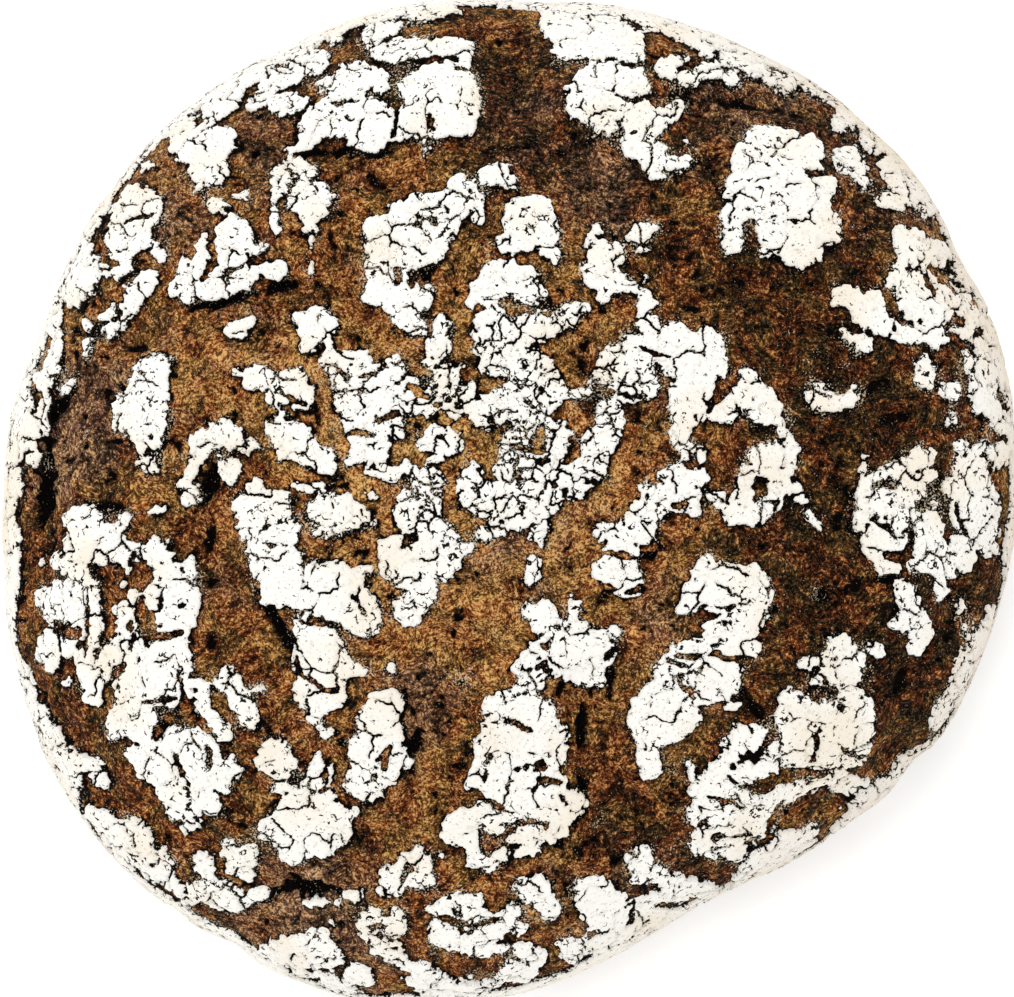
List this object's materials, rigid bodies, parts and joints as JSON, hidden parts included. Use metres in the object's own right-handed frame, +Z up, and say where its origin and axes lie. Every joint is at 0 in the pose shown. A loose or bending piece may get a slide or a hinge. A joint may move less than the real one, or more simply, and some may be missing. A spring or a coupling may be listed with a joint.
{
  "type": "rye bread loaf",
  "caption": "Round hearth-baked dark rye loaf, low domed, with a caked flour skin torn into ragged islands over brown crust, on a flat base.",
  "frame": {"origin": "middle of the flat base, at the centre of the loaf's outline box", "axes": "+Z up through the crown; +X to the right and +Y away as seen from above, with the flat side of the loaf towards +X and -Y"},
  "size_m": [0.2502, 0.248, 0.0863],
  "materials": {
    "crust": "matte rye crust, mid to very dark brown, mottled",
    "flour": "dry baked-on flour, matt white, finely cracked"
  },
  "bodies": {
    "root": {"loaf": "crust"}
  },
  "joints": []
}
